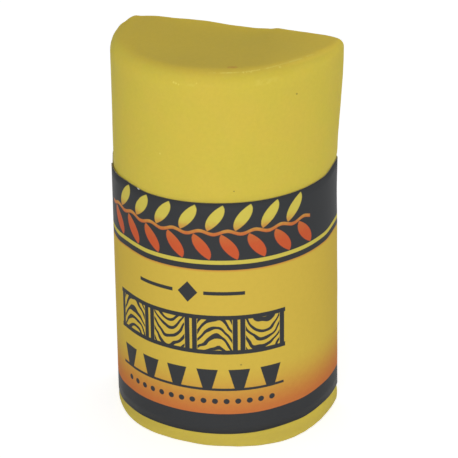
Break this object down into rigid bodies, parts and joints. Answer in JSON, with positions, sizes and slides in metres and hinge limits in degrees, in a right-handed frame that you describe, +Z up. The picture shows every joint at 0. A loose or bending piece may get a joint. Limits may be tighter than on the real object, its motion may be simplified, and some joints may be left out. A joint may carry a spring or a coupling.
{
  "type": "furniture repair wax stick",
  "caption": "Short upright stick of soft filler wax with a round front, a flat back and a printed label rolled round its lower part, for filling scratches and dents in furniture.",
  "frame": {"origin": "on the axis of the round front, in the plane of the foot that the stick stands on", "axes": "+Z up along the stick, +Y out of the flat back, -Y out of the middle of the round front, +X to the right when the front is faced"},
  "size_m": [0.0261, 0.0145, 0.046],
  "materials": {
    "wax": "soft satin wax",
    "label_stock": "white label stock, matte cut edges",
    "yellow_ink": "satin yellow print",
    "dark_ink": "satin charcoal print"
  },
  "bodies": {
    "root": {"wax_stick": "wax", "label_stock": "label_stock", "yellow_ink": "yellow_ink", "dark_ink": "dark_ink"}
  },
  "joints": []
}
